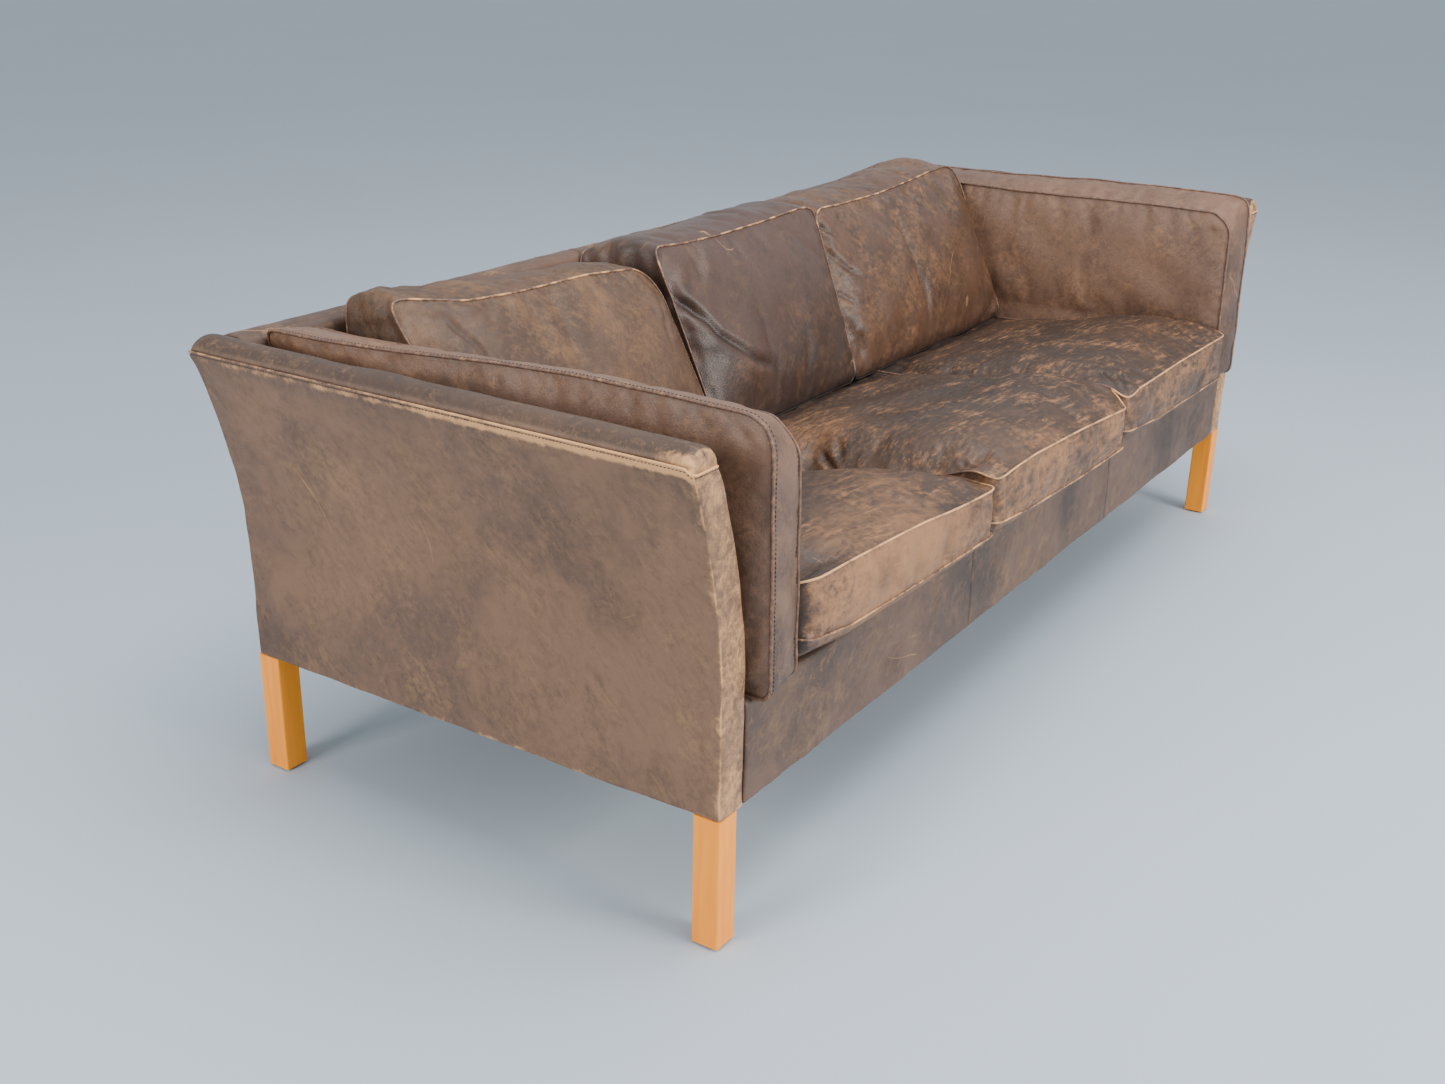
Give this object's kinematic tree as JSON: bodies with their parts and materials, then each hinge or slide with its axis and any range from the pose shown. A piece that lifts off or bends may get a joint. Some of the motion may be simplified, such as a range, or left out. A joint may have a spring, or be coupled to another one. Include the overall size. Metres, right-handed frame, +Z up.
{
  "type": "worn leather sofa",
  "caption": "Long low sofa in worn brown leather with flared end panels, upright arm cushions, loose seat and back cushions and square wooden legs",
  "frame": {"origin": "on the floor, under the middle of the whole sofa", "axes": "+X along the sofa, to the right as seen from its front; the front faces -Y; +Z up"},
  "size_m": [2.137, 0.856, 0.7071],
  "materials": {
    "cushion_leather": "worn semi-matt brown leather with tan rubbed seams, dark smudges and creases",
    "frame_leather": "worn brown leather stretched over padding, rubbed to tan along its seams and edges",
    "varnished_wood": "honey-coloured varnished wood",
    "frame_wood": "plain unfinished board",
    "rubber_webbing": "woven rubber webbing",
    "grey_felt": "matt pressed felt",
    "black_cloth": "thin matt black cloth",
    "zinc_steel": "zinc-plated screw steel",
    "dark_nylon": "dark moulded plastic"
  },
  "bodies": {
    "root": {"arm_cushion_left": "cushion_leather", "arm_cushion_right": "cushion_leather", "back_board": "frame_wood", "back_cover": "frame_leather", "back_cushion_1": "cushion_leather", "back_cushion_2": "cushion_leather", "back_cushion_3": "cushion_leather", "back_seat_rail": "frame_wood", "corner_block_front_left": "frame_wood", "corner_block_front_right": "frame_wood", "corner_block_rear_left": "frame_wood", "corner_block_rear_right": "frame_wood", "cross_rail_left": "frame_wood", "cross_rail_right": "frame_wood", "dust_cover": "black_cloth", "end_board_left": "frame_wood", "end_board_right": "frame_wood", "end_cover_left": "frame_leather", "end_cover_right": "frame_leather", "front_rail_board": "frame_wood", "front_rail_cover": "frame_leather", "glide_front_left": "dark_nylon", "glide_front_right": "dark_nylon", "glide_rear_left": "dark_nylon", "glide_rear_right": "dark_nylon", "leg_bolt_front_left": "zinc_steel", "leg_bolt_front_right": "zinc_steel", "leg_bolt_rear_left": "zinc_steel", "leg_bolt_rear_right": "zinc_steel", "leg_front_left": "varnished_wood", "leg_front_right": "varnished_wood", "leg_rear_left": "varnished_wood", "leg_rear_right": "varnished_wood", "seat_cushion_1": "cushion_leather", "seat_cushion_2": "cushion_leather", "seat_cushion_3": "cushion_leather", "seat_felt": "grey_felt", "side_rail_left": "frame_wood", "side_rail_right": "frame_wood", "webbing_strap_01": "rubber_webbing", "webbing_strap_02": "rubber_webbing", "webbing_strap_03": "rubber_webbing", "webbing_strap_04": "rubber_webbing", "webbing_strap_05": "rubber_webbing", "webbing_strap_06": "rubber_webbing", "webbing_strap_07": "rubber_webbing", "webbing_strap_08": "rubber_webbing", "webbing_strap_09": "rubber_webbing", "webbing_strap_10": "rubber_webbing", "webbing_strap_11": "rubber_webbing", "webbing_strap_12": "rubber_webbing"}
  },
  "joints": []
}
